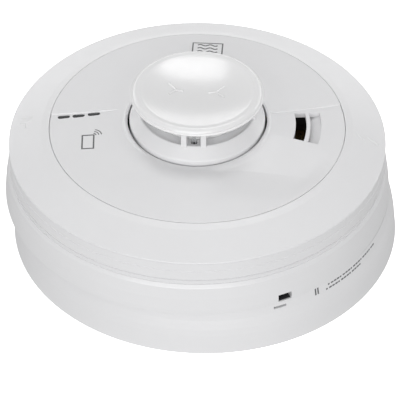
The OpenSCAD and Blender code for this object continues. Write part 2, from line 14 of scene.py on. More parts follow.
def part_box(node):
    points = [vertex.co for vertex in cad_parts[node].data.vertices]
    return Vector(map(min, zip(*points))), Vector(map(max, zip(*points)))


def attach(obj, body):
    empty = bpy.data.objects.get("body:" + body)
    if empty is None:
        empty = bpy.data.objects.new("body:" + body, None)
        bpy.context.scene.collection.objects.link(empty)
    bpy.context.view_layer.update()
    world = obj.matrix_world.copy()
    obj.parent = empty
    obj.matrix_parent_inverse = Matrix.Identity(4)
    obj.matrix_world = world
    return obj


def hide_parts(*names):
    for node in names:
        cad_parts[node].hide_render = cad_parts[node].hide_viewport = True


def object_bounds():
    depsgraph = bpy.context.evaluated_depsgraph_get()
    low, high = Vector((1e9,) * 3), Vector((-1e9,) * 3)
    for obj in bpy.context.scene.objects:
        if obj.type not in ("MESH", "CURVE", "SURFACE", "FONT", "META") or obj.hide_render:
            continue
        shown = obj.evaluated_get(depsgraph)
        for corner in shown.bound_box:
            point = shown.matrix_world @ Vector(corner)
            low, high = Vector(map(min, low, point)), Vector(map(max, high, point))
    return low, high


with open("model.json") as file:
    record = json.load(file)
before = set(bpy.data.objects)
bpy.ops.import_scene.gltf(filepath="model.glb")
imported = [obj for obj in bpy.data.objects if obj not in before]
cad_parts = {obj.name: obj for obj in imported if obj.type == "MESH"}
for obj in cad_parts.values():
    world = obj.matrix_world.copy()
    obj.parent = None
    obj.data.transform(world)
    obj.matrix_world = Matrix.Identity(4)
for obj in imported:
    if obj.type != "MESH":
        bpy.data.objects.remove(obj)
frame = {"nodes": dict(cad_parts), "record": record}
CAD_LOW, CAD_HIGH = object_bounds()
MM = 0.001
TAU = 2 * math.pi
SHARP_ANGLE = 28.0            # degrees: an edge whose faces meet at more than this stays sharp
NORMAL_WEIGHT = 80            # how far the larger faces steer the shading


def middle_x(node):
    low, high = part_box(node)
    return (low.x + high.x) / 2


HEAD_X_MM = middle_x("button_cap") / MM    # the head's axis, which stands off the plate's


# ---------------------------------------------------------------- materials

class Nodes:
    """A short way to wire a material's nodes."""

    def __init__(self, name):
        self.material = bpy.data.materials.new(name)
        self.material.use_nodes = True
        self.tree = self.material.node_tree
        self.shader = self.tree.nodes["Principled BSDF"]
        coord = self.tree.nodes.new("ShaderNodeTexCoord")
        self.position = coord.outputs["Object"]

    def add(self, kind, inputs=None, **settings):
        node = self.tree.nodes.new(kind)
        for key, value in settings.items():
            setattr(node, key, value)
        for key, value in (inputs or {}).items():
            self.put(value, node.inputs[key])
        return node

    def put(self, value, socket):
        if isinstance(value, bpy.types.NodeSocket):
            self.tree.links.new(value, socket)
        else:
            socket.default_value = value

    def noise(self, scale, detail=3.0, roughness=0.5, vector=None):
        return self.add("ShaderNodeTexNoise", {"Vector": vector or self.position, "Scale": scale,
                                               "Detail": detail, "Roughness": roughness}).outputs["Fac"]

    def spread(self, value, low, high, from_low=0.3, from_high=0.7):
        return self.add("ShaderNodeMapRange", {"Value": value, "From Min": from_low, "From Max": from_high,
                                               "To Min": low, "To Max": high}).outputs["Result"]

    def mix(self, factor, a, b):
        node = self.tree.nodes.new("ShaderNodeMix")
        node.data_type = "RGBA"
        self.put(factor, node.inputs["Factor"])
        self.put(a, node.inputs[6])
        self.put(b, node.inputs[7])
        return node.outputs[2]

    def maths(self, operation, a, b=0.0):
        return self.add("ShaderNodeMath", {0: a, 1: b}, operation=operation).outputs[0]

    def bump(self, layers):
        """Several (height, strength, distance) layers, one on the other."""
        normal = None
        for height, strength, distance in layers:
            node = self.add("ShaderNodeBump", {"Height": height, "Strength": strength, "Distance": distance})
            if normal is not None:
                self.put(normal, node.inputs["Normal"])
            normal = node.outputs["Normal"]
        self.put(normal, self.shader.inputs["Normal"])

    def set(self, **values):
        for key, value in values.items():
            self.put(value, self.shader.inputs[key.replace("_", " ")])


def rgb(r, g, b):
    return (r, g, b, 1.0)


def shade(colour, factor):
    return rgb(*[c * factor for c in colour[:3]])


FLOW_SCALE, CLOUD_SCALE, GRAIN_SCALE = 38, 240, 5200
SCUFF_SCALE, SCUFF_TURN = (90.0, 1500.0, 400.0), (0.2, 0.4, 0.9)
CLOUD_ROUGHNESS, SCUFF_ROUGHNESS = 0.035, 0.03


def moulded_plastic(name, colour, roughness, grain=0.18, specular=0.5, scuff=1.0):
    """Injection-moulded plastic: spark-eroded grain, slow flow marks, faint scuffs and paler edges."""
    n = Nodes(name)
    flow = n.noise(FLOW_SCALE, 4, 0.55)
    cloud = n.noise(CLOUD_SCALE, 3, 0.6)
    fine = n.noise(GRAIN_SCALE, 2, 0.6)
    tint = n.mix(n.spread(flow, 0, 1), shade(colour, 0.985), shade(colour, 1.012))
    tint = n.mix(n.spread(cloud, 0, 0.35), tint, shade(colour, 0.975))
    edge = n.add("ShaderNodeNewGeometry").outputs["Pointiness"]
    worn = n.maths("MULTIPLY", n.spread(edge, 0, 1, 0.52, 0.62), n.spread(cloud, 0.1, 0.5))
    tint = n.mix(worn, tint, shade(colour, 1.03))
    n.set(Base_Color=tint)
    scuffs = n.add("ShaderNodeMapping", {"Vector": n.position, "Scale": SCUFF_SCALE,
                                         "Rotation": SCUFF_TURN}).outputs["Vector"]
    scratch = n.noise(1.0, 3, 0.6, scuffs)
    rough = n.maths("ADD", n.spread(cloud, roughness - CLOUD_ROUGHNESS, roughness + CLOUD_ROUGHNESS),
                    n.spread(scratch, -SCUFF_ROUGHNESS * scuff, SCUFF_ROUGHNESS * scuff))
    n.set(Roughness=rough, Specular_IOR_Level=specular)
    n.bump([(flow, 0.06, 0.0006), (fine, grain, 0.00004), (scratch, 0.03 * scuff, 0.00003)])
    return n.material


def clear_plastic(name, colour, roughness):
    """Glossy lens or smoked window, with a thin clear coat."""
    n = Nodes(name)
    cloud = n.noise(420, 3)
    n.set(Base_Color=n.mix(n.spread(cloud, 0, 1), shade(colour, 0.9), shade(colour, 1.15)),
          Roughness=n.spread(cloud, roughness * 0.8, roughness * 1.3), Coat_Weight=0.5, Coat_Roughness=0.08)
    n.bump([(n.noise(900, 3), 0.08, 0.00005)])
    return n.material


BRUSH_SCALE = 2600.0


def metal(name, colour, roughness, stretch=(1.0, 1.0, 1.0)):
    """Plated or drawn metal with fine directional marks and darker tarnish."""
    n = Nodes(name)
    brush = n.add("ShaderNodeMapping", {"Vector": n.position,
                                        "Scale": tuple(BRUSH_SCALE * s for s in stretch)}).outputs["Vector"]
    brushed = n.noise(1.0, 4, 0.65, brush)
    tarnish = n.noise(310, 4, 0.6)
    n.set(Base_Color=n.mix(n.spread(tarnish, 0, 0.6), colour, shade(colour, 0.72)), Metallic=1.0,
          Roughness=n.spread(brushed, roughness - 0.08, roughness + 0.12))
    n.bump([(brushed, 0.15, 0.00004), (tarnish, 0.06, 0.0001)])
    return n.material


def board_material():
    """Green solder resist with a faint copper pattern under it and glass weave."""
    n = Nodes("board")
    tracks = n.add("ShaderNodeTexBrick", {"Vector": n.position, "Color1": rgb(0.016, 0.12, 0.045),
                                          "Color2": rgb(0.02, 0.15, 0.055), "Mortar": rgb(0.012, 0.075, 0.03),
                                          "Scale": 190.0, "Mortar Size": 0.035})
    weave = n.add("ShaderNodeTexWave", {"Vector": n.position, "Scale": 700.0, "Distortion": 0.4})
    n.set(Base_Color=tracks.outputs["Color"], Roughness=n.spread(n.noise(260), 0.28, 0.42))
    n.bump([(tracks.outputs["Fac"], 0.25, 0.00005), (weave.outputs["Fac"], 0.08, 0.00003)])
    return n.material


def tape_material():
    """Wound insulating tape over a coil."""
    n = Nodes("coil_tape")
    turns = n.add("ShaderNodeTexWave", {"Vector": n.position, "Scale": 420.0, "Distortion": 1.2,
                                        "Detail": 2.0}, bands_direction="Z")
    tint = n.mix(turns.outputs["Fac"], rgb(0.45, 0.26, 0.03), rgb(0.62, 0.42, 0.08))
    n.set(Base_Color=tint, Roughness=n.spread(n.noise(330), 0.25, 0.4))
    n.bump([(turns.outputs["Fac"], 0.3, 0.0001)])
    return n.material


def ink_material():
    """Pad-printed grey ink: slightly uneven cover."""
    n = Nodes("ink")
    cover = n.noise(3800, 3, 0.6)
    n.set(Base_Color=n.mix(n.spread(cover, 0, 1), rgb(0.085, 0.087, 0.09), rgb(0.15, 0.153, 0.158)),
          Roughness=n.spread(cover, 0.45, 0.6))
    n.bump([(cover, 0.2, 0.00001)])
    return n.material


WHITE = moulded_plastic("white_plastic", rgb(0.745, 0.745, 0.755), 0.345, specular=0.75, scuff=0.5)
CAP_WHITE = moulded_plastic("cap_plastic", rgb(0.775, 0.775, 0.78), 0.215, 0.08, specular=1.0, scuff=0.2)
GREY = moulded_plastic("grey_plastic", rgb(0.46, 0.47, 0.48), 0.45)
BLACK = moulded_plastic("black_plastic", rgb(0.028, 0.028, 0.032), 0.6, specular=0.15)
SMOKED = clear_plastic("smoked_lens", rgb(0.03, 0.031, 0.034), 0.16)
LENS = clear_plastic("lens", rgb(0.6, 0.66, 0.6), 0.12)
BOARD = board_material()
TAPE = tape_material()
BRASS = metal("brass", rgb(0.78, 0.57, 0.24), 0.3, (1.0, 0.1, 1.0))
STEEL = metal("steel", rgb(0.62, 0.63, 0.65), 0.32, (0.1, 1.0, 1.0))
MESH = moulded_plastic("mesh", rgb(0.80, 0.80, 0.80), 0.5)
INK = ink_material()

SLOT_MATERIALS = {"white_plastic": WHITE, "grey_plastic": GREY, "black_plastic": BLACK,
                  "smoked_lens": SMOKED, "lens": LENS, "board": BOARD, "coil_tape": TAPE,
                  "brass": BRASS, "steel": STEEL, "mesh": MESH}


def dress(node, material):
    slots = frame["nodes"][node].data.materials
    slots.clear()
    slots.append(material)


for part in frame["record"]["subparts"]:
    dress(part["node"], SLOT_MATERIALS[part["material_slot"]])
dress("button_cap", CAP_WHITE)                 # glossier than the housing


# ---------------------------------------------------------------- mesh helpers

def smooth_by_angle(mesh, degrees=SHARP_ANGLE):
    """Smooth faces, with an edge kept sharp where its two faces meet at more than the angle."""
    bm = bmesh.new()
    bm.from_mesh(mesh)
    limit = math.radians(degrees)
    for face in bm.faces:
        face.smooth = True
    for edge in bm.edges:
        edge.smooth = len(edge.link_faces) == 2 and edge.calc_face_angle(math.pi) < limit
    bm.to_mesh(mesh)
    bm.free()


def soften(obj):
    """Shading flags only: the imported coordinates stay."""
    mesh = obj.data
    mesh.polygons.foreach_set("use_smooth", [True] * len(mesh.polygons))
    mesh.set_sharp_from_angle(angle=math.radians(SHARP_ANGLE))
    weights = obj.modifiers.new("weighted", "WEIGHTED_NORMAL")
    weights.keep_sharp = True
    weights.weight = NORMAL_WEIGHT


for node_object in frame["nodes"].values():
    soften(node_object)


def piece(name, mesh, material, body, replaces=()):
    """An object of one material that rides on a body."""
    obj = bpy.data.objects.new(name, mesh)
    bpy.context.scene.collection.objects.link(obj)
    mesh.materials.append(material)
    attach(obj, body)
    if replaces:
        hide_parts(*replaces)
    return obj


def mesh_from(name, verts_mm, faces, sharp=SHARP_ANGLE, shift=True):
    """A mesh from points in mm about the head's axis, or about the plate's axis without the shift."""
    move = HEAD_X_MM if shift else 0.0
    mesh = bpy.data.meshes.new(name)
    mesh.from_pydata([((x + move) * MM, y * MM, z * MM) for x, y, z in verts_mm], [], faces)
    mesh.validate()
    bm = bmesh.new()
    bm.from_mesh(mesh)
    bmesh.ops.recalc_face_normals(bm, faces=bm.faces)
    bm.to_mesh(mesh)
    bm.free()
    smooth_by_angle(mesh, sharp)
    return mesh


def polar(r, degrees):
    a = math.radians(degrees)
    return (r * math.cos(a), r * math.sin(a))


def turned(points, degrees, cx=0.0, cy=0.0):
    c, s = math.cos(math.radians(degrees)), math.sin(math.radians(degrees))
    return [(cx + x * c - y * s, cy + x * s + y * c) for x, y in points]


def closer_points(points, step, closed):
    """Points at about every step along a line; an open line keeps its last point."""
    path = []
    for (x0, y0), (x1, y1) in zip(points, points[1:] + points[:1] if closed else points[1:]):
        n = max(1, int(math.hypot(x1 - x0, y1 - y0) / step))
        path += [(x0 + (x1 - x0) * i / n, y0 + (y1 - y0) * i / n) for i in range(n)]
    return path if closed else path + [points[-1]]


# A stroke's section: across as a share of its width, up as a share of its height; None is its sunk foot
STROKE_SECTION = ((-0.5, None), (-0.5, 0.45), (-0.34, 0.9), (0.0, 1.0), (0.34, 0.9), (0.5, 0.45), (0.5, None))
MITRE_MAX, MITRE_COS_MIN = 1.6, 0.3


def stroke(points, width, height, surface, closed=False, sink=0.12, step=0.5):
    """Verts and faces of one raised line: a rounded bar along the points, lying on the surface(x, y)."""
    path = closer_points(points, step, closed)
    verts, faces = [], []
    count, k = len(path), len(STROKE_SECTION)
    for i, (x, y) in enumerate(path):
        xa, ya = path[(i - 1) % count] if closed or i else path[i]
        xb, yb = path[(i + 1) % count] if closed or i < count - 1 else path[i]
        before = Vector((x - xa, y - ya))
        after = Vector((xb - x, yb - y))
        before = before.normalized() if before.length else after.normalized()
        after = after.normalized() if after.length else before
        along = (before + after).normalized()
        mitre = min(MITRE_MAX, 1 / max(MITRE_COS_MIN, along.dot(before)))
        side = Vector((-along.y, along.x)) * mitre
        for across, up in STROKE_SECTION:
            px, py = x + side.x * across * width, y + side.y * across * width
            verts.append((px, py, surface(px, py) + (height * up if up is not None else -sink)))
    rings = count if closed else count - 1
    for i in range(rings):
        a, b = i * k, ((i + 1) % count) * k
        for j in range(k):
            faces.append((a + j, a + (j + 1) % k, b + (j + 1) % k, b + j))
    if not closed:
        faces.append(tuple(range(k)))
        faces.append(tuple(range((count - 1) * k, count * k)))
    return verts, faces


MARK_SHARP_ANGLE = 50


def marks(name, strokes, surface, material, body):
    """One piece from several strokes, each (points, width, height, closed)."""
    verts, faces = [], []
    for points, width, height, closed in strokes:
        v, f = stroke(points, width, height, surface, closed)
        base = len(verts)
        verts += v
        faces += [tuple(base + i for i in face) for face in f]
    return piece(name, mesh_from(name, verts, faces, MARK_SHARP_ANGLE), material, body)


# ---------------------------------------------------------------- fascia

SEAM_R, SEAM_Z = 53.2, 45.9
SEAM_CHAMFER = 0.12
HOLE_R = 25.1
COLLAR_Z, COLLAR_R = 49.0, 26.15
COLLAR_CROWN = 0.75           # the collar's highest ring, out from the hole
COLLAR_ROUND, COLLAR_FALL = 0.5, 0.9       # its drop at the hole, and 1 mm outside the crown
COLLAR_REACH = 30.0           # no collar outside this radius
LEFT_SINK, LEFT_SINK_RUN = -115, 50        # azimuths at which the collar is low, and how far it takes to rise
RIGHT_SINK, RIGHT_SINK_RUN = -60, 45
FRONT_Z = 47.3                # the low front, beside the button
CONE_RISE, COVE_R = 2.3, 34.0
COVE_GAP = 0.1                # the cove ends this far below the collar's top
PAD_DROP = 0.36               # the pad and the light strip, below the back half
SLOT_RADII = ((35.4, 39.3), (40.7, 44.6))
SLOT_HALF = 11.5              # degrees, to each side of the X axis
WINDOW_AT = ((-48.3, 1.4), (-43.0, 1.85), (-37.5, 2.6))
WINDOW_TILT, WINDOW_L, WINDOW_W = 8.0, 4.6, 1.9
# The fascia's folded lines, as (x, y) points: the pad right of the button, the light strip left of it, and
# the creases at the foot of the slopes in front of them
PAD_BACK = ((25.0, 5.2), (27.6, 6.0), (49.9, 14.3), (51.9, 15.0))
PAD_FRONT = ((25.0, -6.7), (28.6, -6.3), (33.0, -6.5), (37.5, -8.3), (43.2, -11.1), (51.2, -15.4))
STEP_BACK = ((-52.8, 2.9), (-44.0, 3.3), (-32.3, 4.3), (-27.4, 4.6))
STEP_FRONT = ((-53.0, -1.9), (-44.0, -0.75), (-36.0, 0.35), (-27.4, 1.1))
CREASE_RIGHT = ((12.0, -26.3), (15.0, -25.0), (28.0, -25.6), (44.5, -27.1), (46.5, -27.4))
CREASE_LEFT = ((-46.5, -27.4), (-23.6, -27.1), (-14.4, -25.4), (-5.8, -26.5))
STEP_RUN = 0.3                # plan width of the steep face behind the pad and the strip
FOLD_MARGIN = 0.3             # lines beside a fold, which keep the triangles along it narrow
VALLEY_DEPTH, VALLEY_RUN = 0.7, 16.0
VALLEY_X, VALLEY_X_RUN = 3.0, 9.0          # where it starts, and how soon it has its full depth
VALLEY_SEAM_RUN, VALLEY_HOLE_RUN = 6.0, 3.0
MELT_X, MELT_RUN = 26.0, 7.0  # the strip's step starts this far left of the axis
MELT_BACK_Y, MELT_FOOT_Y, MELT_SLOPE_RUN = 12, -26.5, 34.0


def line_y(points, x):
    """y of a polyline at x, held level past its ends."""
    points = sorted(points)
    if x <= points[0][0]:
        return points[0][1]
    for (x0, y0), (x1, y1) in zip(points, points[1:]):
        if x <= x1:
            return y0 + (y1 - y0) * (x - x0) / (x1 - x0)
    return points[-1][1]


def clamp01(t):
    return max(0.0, min(1.0, t))


def ease(t):
    t = clamp01(t)
    return t * t * (3 - 2 * t)


def low_level(r):
    """Height of the front field at a radius."""
    return SEAM_Z + (FRONT_Z - SEAM_Z) * clamp01((SEAM_R - r) / (SEAM_R - HOLE_R))


def high_level(r):
    """Height of the back field at a radius: a cone, with a cove beside the collar."""
    cone = SEAM_Z + CONE_RISE * clamp01((SEAM_R - r) / (SEAM_R - COLLAR_R))
    cove = (COLLAR_Z - COVE_GAP - SEAM_Z - CONE_RISE) * clamp01((COVE_R - r) / (COVE_R - COLLAR_R)) ** 2
    return cone + cove


def collar_top(azimuth):
    """The collar's top sinks to the low front on both sides of the button."""
    if azimuth > 90:
        return COLLAR_Z
    if azimuth < -90:
        share = ease((LEFT_SINK - azimuth) / LEFT_SINK_RUN)
    else:
        share = ease((azimuth - RIGHT_SINK) / RIGHT_SINK_RUN)
    return FRONT_Z + (COLLAR_Z - FRONT_Z) * share


def collar(r, top):
    """Rounded lip round the hole, and its outer wall down to the fascia."""
    crown = HOLE_R + COLLAR_CROWN
    if r < crown:
        return top - COLLAR_ROUND * ((crown - r) / (crown - HOLE_R)) ** 2
    return top - COLLAR_FALL * (r - crown) ** 2


def valley(x, crease, y, r):
    """Depth of the shallow valley where the pad's slope meets the front, on the right side only."""
    along = (ease((x - VALLEY_X) / VALLEY_X_RUN) * ease((SEAM_R - r) / VALLEY_SEAM_RUN)
             * ease((r - HOLE_R) / VALLEY_HOLE_RUN))
    return VALLEY_DEPTH * along * (1 - ease((crease - y) / VALLEY_RUN))


def facet_level(x, y, back, front, crease, r):
    """Between two lines: the lowered field, its steep back face and its slope down to the front."""
    high, low = high_level(r), low_level(r) - valley(x, crease, y, r)
    field = high - PAD_DROP
    if y >= back:
        return high
    if y > back - STEP_RUN:
        return field + PAD_DROP * (y - back + STEP_RUN) / STEP_RUN
    if y >= front:
        return field
    return low + (field - low) * clamp01((y - crease) / (front - crease))


def fascia_z(x, y):
    """Height of the fascia's upper face."""
    r = math.hypot(x, y)
    if x >= 0:
        z = facet_level(x, y, line_y(PAD_BACK, x), line_y(PAD_FRONT, x), line_y(CREASE_RIGHT, x), r)
    else:
        z = facet_level(x, y, line_y(STEP_BACK, x), line_y(STEP_FRONT, x), line_y(CREASE_LEFT, x), r)
        fade = ease((-x - MELT_X) / MELT_RUN)  # the step melts into the slope beside the collar
        if fade < 1 and y < MELT_BACK_Y:
            high, low = high_level(r), low_level(r)
            soft = low + (high - low) * clamp01((y - MELT_FOOT_Y) / MELT_SLOPE_RUN)
            z = soft + (z - soft) * fade
    if r > COLLAR_REACH:
        return z
    return max(z, collar(r, collar_top(math.degrees(math.atan2(y, x)))))


def offset_line(points, dy):
    return [(x, y + dy) for x, y in points]


FEATURE_LINES = (PAD_BACK, offset_line(PAD_BACK, -STEP_RUN), PAD_FRONT, CREASE_RIGHT,
                 STEP_BACK, offset_line(STEP_BACK, -STEP_RUN), STEP_FRONT, CREASE_LEFT)


def on_feature(x, y):
    """True on one of the fascia's folded lines."""
    end_slack, side_slack = 0.01, 0.02
    for line in FEATURE_LINES:
        first = min(p[0] for p in line) - end_slack
        last = max(p[0] for p in line) + end_slack
        if first <= x <= last and abs(line_y(line, x) - y) < side_slack:
            return True
    return False


def slot_outline(inner, outer, half, n=10):
    """A curved slot between two radii."""
    out = [polar(outer, -half + 2 * half * i / n) for i in range(n + 1)]
    return out + [polar(inner, half - 2 * half * i / n) for i in range(n + 1)]


def window_outline(centre, n=8):
    """A slot with round ends, tilted."""
    r = WINDOW_W / 2
    out = []
    for side, start in ((1, -90), (-1, 90)):
        for i in range(n + 1):
            px, py = polar(r, start + 180 * i / n)
            out.append((side * (WINDOW_L / 2 - r) + px, py))
    return turned(out, WINDOW_TILT, *centre)


def inside(point, outline):
    """True for a point within a closed outline: a ray from it crosses an odd number of sides."""
    x, y = point
    odd = False
    for (x0, y0), (x1, y1) in zip(outline, outline[1:] + outline[:1]):
        if (y0 > y) != (y1 > y) and x < (x1 - x0) * (y - y0) / (y1 - y0) + x0:
            odd = not odd
    return odd


RING_OFFSETS = (0.0, 0.1, 0.25, 0.42, 0.6, 0.75, 0.95, 1.15, 1.35, 1.55, 1.75, 1.95, 2.2, 2.6, 3.2)
RING_STEPS = 300              # points round each ring
FIRST_GAP, RING_GAP = 0.8, 0.95            # between rings, outside the collar's close ones
LAST_RING_GAP, SEAM_RING_GAP = 0.9, 0.45
LINE_STEP = 0.7               # between points along a line
LINE_FROM_HOLE, LINE_FROM_SEAM = 0.7, 0.3  # an open line keeps this far inside the two edges
NEAR, CELL = 0.26, 0.4        # a ring's point this near a line's is left out; the search grid's cell
LIP_UNDER_Z, LIP_WIDTH = 43.4, 2.8         # underside of the lip at the seam
THICK_MIN = 1.9
UNDER_Z, UNDER_RISE, UNDER_RUN = 44.6, 1.6, 12
EDGE_SLACK = 0.05             # a point this near the seam's radius is on the edge, and is chamfered
HOLE_SLACK = 0.01             # a triangle's middle may lie this far inside the hole's radius
MERGE_DISTANCE = 1e-5
FASCIA_SHARP_ANGLE = 24


def fascia_rings():
    """Radii of the rings of points, close together on the collar and at the seam."""
    rings = [HOLE_R + offset for offset in RING_OFFSETS]
    r = rings[-1] + FIRST_GAP
    while r < SEAM_R - LAST_RING_GAP:
        rings.append(r)
        r += RING_GAP
    return rings + [SEAM_R - SEAM_RING_GAP, SEAM_R - SEAM_CHAMFER, SEAM_R]


def fascia_lines():
    """The folded lines, and lines beside each that hold the shape of its two faces."""
    lines = [list(line) for line in FEATURE_LINES]
    for line in (PAD_FRONT, STEP_FRONT):
        lines += [offset_line(line, -FOLD_MARGIN), offset_line(line, FOLD_MARGIN)]
    for line in (PAD_BACK, STEP_BACK):
        lines += [offset_line(line, FOLD_MARGIN), offset_line(line, -2 * STEP_RUN)]
    return lines


def near_any(placed):
    """A test for whether a point lies near one of those already placed."""
    cells = {}
    for p in placed:
        cells.setdefault((round(p[0] / CELL), round(p[1] / CELL)), []).append(p)

    def near(p):
        i, j = round(p[0] / CELL), round(p[1] / CELL)
        return any(math.hypot(p[0] - q[0], p[1] - q[1]) < NEAR
                   for di in (-1, 0, 1) for dj in (-1, 0, 1) for q in cells.get((i + di, j + dj), ()))

    return near


def fascia_layout(holes):
    """Points and edges of the plate's plan: hole outlines, folded lines and rings."""
    points, edges = [], []
    for outline in holes:
        dense = closer_points(outline, LINE_STEP, True)
        base = len(points)
        points += dense
        edges += [(base + i, base + (i + 1) % len(dense)) for i in range(len(dense))]
    for line in fascia_lines():
        dense = [p for p in closer_points(line, LINE_STEP, False)
                 if HOLE_R + LINE_FROM_HOLE < math.hypot(*p) < SEAM_R - LINE_FROM_SEAM
                 and not any(inside(p, hole) for hole in holes)]
        base = len(points)
        points += dense
        edges += [(base + i, base + i + 1) for i in range(len(dense) - 1)]
    near = near_any(points)
    rings = fascia_rings()
    for radius in rings:
        edge_ring = radius in (rings[0], rings[-1])
        base = len(points)
        for i in range(RING_STEPS):
            p = polar(radius, 360 * i / RING_STEPS)
            if edge_ring or not near(p):
                points.append(p)
        if edge_ring:
            edges += [(base + i, base + (i + 1) % RING_STEPS) for i in range(RING_STEPS)]
    return points, edges


def fascia_under(x, y, z):
    """Height of the underside below a point of the upper face: a flat lip at the seam, rising inwards."""
    r = math.hypot(x, y)
    if r > SEAM_R - LIP_WIDTH:
        return LIP_UNDER_Z
    return min(z - THICK_MIN, UNDER_Z + UNDER_RISE * clamp01((SEAM_R - r) / UNDER_RUN))


def build_fascia():
    """Plate with a hole, windows and sound slots: one triangulation for the top, and its copy below."""
    holes = [slot_outline(a, b, SLOT_HALF) for a, b in SLOT_RADII] + [window_outline(c) for c in WINDOW_AT]
    points, edges = fascia_layout(holes)
    made = geometry.delaunay_2d_cdt([Vector(p) for p in points], edges, [], 0, MERGE_DISTANCE)
    flat, faces = made[0], made[2]
    keep = []
    for face in faces:
        cx = sum(flat[i].x for i in face) / 3
        cy = sum(flat[i].y for i in face) / 3
        in_plate = HOLE_R - HOLE_SLACK < math.hypot(cx, cy) < SEAM_R
        if in_plate and not any(inside((cx, cy), hole) for hole in holes):
            keep.append(tuple(face))
    used = sorted({i for face in keep for i in face})
    index = {v: i for i, v in enumerate(used)}
    count = len(used)
    top = [(flat[v].x, flat[v].y, fascia_z(flat[v].x, flat[v].y)) for v in used]
    bottom = [(x, y, fascia_under(x, y, z)) for x, y, z in top]
    upper = [tuple(index[i] for i in face) for face in keep]
    directed = set()
    for a, b, c in upper:
        directed |= {(a, b), (b, c), (c, a)}
    rim = [(a, b) for a, b in directed if (b, a) not in directed]
    all_faces = list(upper)
    all_faces += [(c + count, b + count, a + count) for a, b, c in upper]
    all_faces += [(b, a, a + count, b + count) for a, b in rim]
    for i, (x, y, z) in enumerate(top):
        if math.hypot(x, y) > SEAM_R - EDGE_SLACK:
            top[i] = (x, y, z - SEAM_CHAMFER)
    mesh = mesh_from("fascia_shell", top + bottom, all_faces, FASCIA_SHARP_ANGLE)
    folded = [on_feature(v.co.x / MM - HEAD_X_MM, v.co.y / MM) for v in mesh.vertices]
    for edge in mesh.edges:
        if folded[edge.vertices[0]] and folded[edge.vertices[1]]:
            edge.use_edge_sharp = True
    return mesh


piece("fascia_shell", build_fascia(), WHITE, "head", ["fascia"])


WEB_SECTION = ((45.4, 43.9), (45.4, 44.7), (44.5, 45.0), (40.2, 43.6), (40.2, 42.8))    # radius and height
WEB_PAST_SLOT = 1.5           # degrees, at each end


def build_slot_web(n=24):
    """Sloping web below the outer sound slot: one section, swept round the head's axis."""
    half, k = SLOT_HALF + WEB_PAST_SLOT, len(WEB_SECTION)
    verts = [(*polar(r, -half + 2 * half * i / n), z) for i in range(n + 1) for r, z in WEB_SECTION]
    faces = [(i * k + j, i * k + (j + 1) % k, (i + 1) * k + (j + 1) % k, (i + 1) * k + j)
             for i in range(n) for j in range(k)]
    faces += [tuple(range(k)), tuple(range(n * k, (n + 1) * k))]
    return mesh_from("slot_web", verts, faces)


piece("slot_web", build_slot_web(), WHITE, "head")


def build_slot_shade_sheet():
    """Black sheet on the floor of the tool slot, riding on the catch, with a bevelled nose: painted shade, a
    dark stand-in for the open gap that lies below the slot.
    """
    angle, root_r, nose_r, half_width = -60.5, 66.0, 69.6, 2.2
    floor_z, thick, bevel = 18.64, 0.35, 0.2
    section = ((root_r, floor_z), (nose_r, floor_z), (nose_r, floor_z + thick - bevel),
               (nose_r - bevel, floor_z + thick), (root_r, floor_z + thick))
    c, s = math.cos(math.radians(angle)), math.sin(math.radians(angle))
    verts = [(r * c - y * s, r * s + y * c, z) for y in (-half_width, half_width) for r, z in section]
    k = len(section)
    faces = [(j, (j + 1) % k, k + (j + 1) % k, k + j) for j in range(k)]
    faces += [tuple(range(k)), tuple(range(k, 2 * k))]
    return mesh_from("slot_shade_sheet", verts, faces)


# painted shade: this black sheet darkens the tool slot's floor where the real slot is open and dark below
piece("slot_shade_sheet", build_slot_shade_sheet(), BLACK, "catch")


# ---------------------------------------------------------------- woven screen

WIRES, HOOPS, WIRE_R = 150, 13, 0.23
WEAVE_SWAY = 0.15             # how far a wire leans in and out as it passes over and under
WEAVE_MARGIN = 0.3            # from the cage's ends to the weave
END_HOOP_R, END_HOOP_Z, END_HOOP_POINTS = 0.22, 0.25, 96
SCREEN_INSET = 0.25           # from the cage's outside to the middle of the weave
SKEW = Vector((0.3, 0.2, 0.93))            # a direction that no wire runs along
WIRE_SHARP_ANGLE = 60


def add_tube(verts, faces, path, r, closed, sides=5):
    """A round wire along a path, closed on itself or capped at its ends."""
    base, n = len(verts), len(path)
    for i, p in enumerate(path):
        a = path[(i - 1) % n] if closed or i else p
        b = path[(i + 1) % n] if closed or i < n - 1 else p
        along = (Vector(b) - Vector(a)).normalized()
        u = along.cross(SKEW).normalized()
        w = along.cross(u)
        for s in range(sides):
            q = Vector(p) + (u * math.cos(TAU * s / sides) + w * math.sin(TAU * s / sides)) * r
            verts.append(tuple(q))
    for i in range(n if closed else n - 1):
        a, b = base + i * sides, base + ((i + 1) % n) * sides
        faces += [(a + s, a + (s + 1) % sides, b + (s + 1) % sides, b + s) for s in range(sides)]
    if not closed:
        faces.append(tuple(base + s for s in range(sides)))
        faces.append(tuple(base + (n - 1) * sides + s for s in range(sides)))


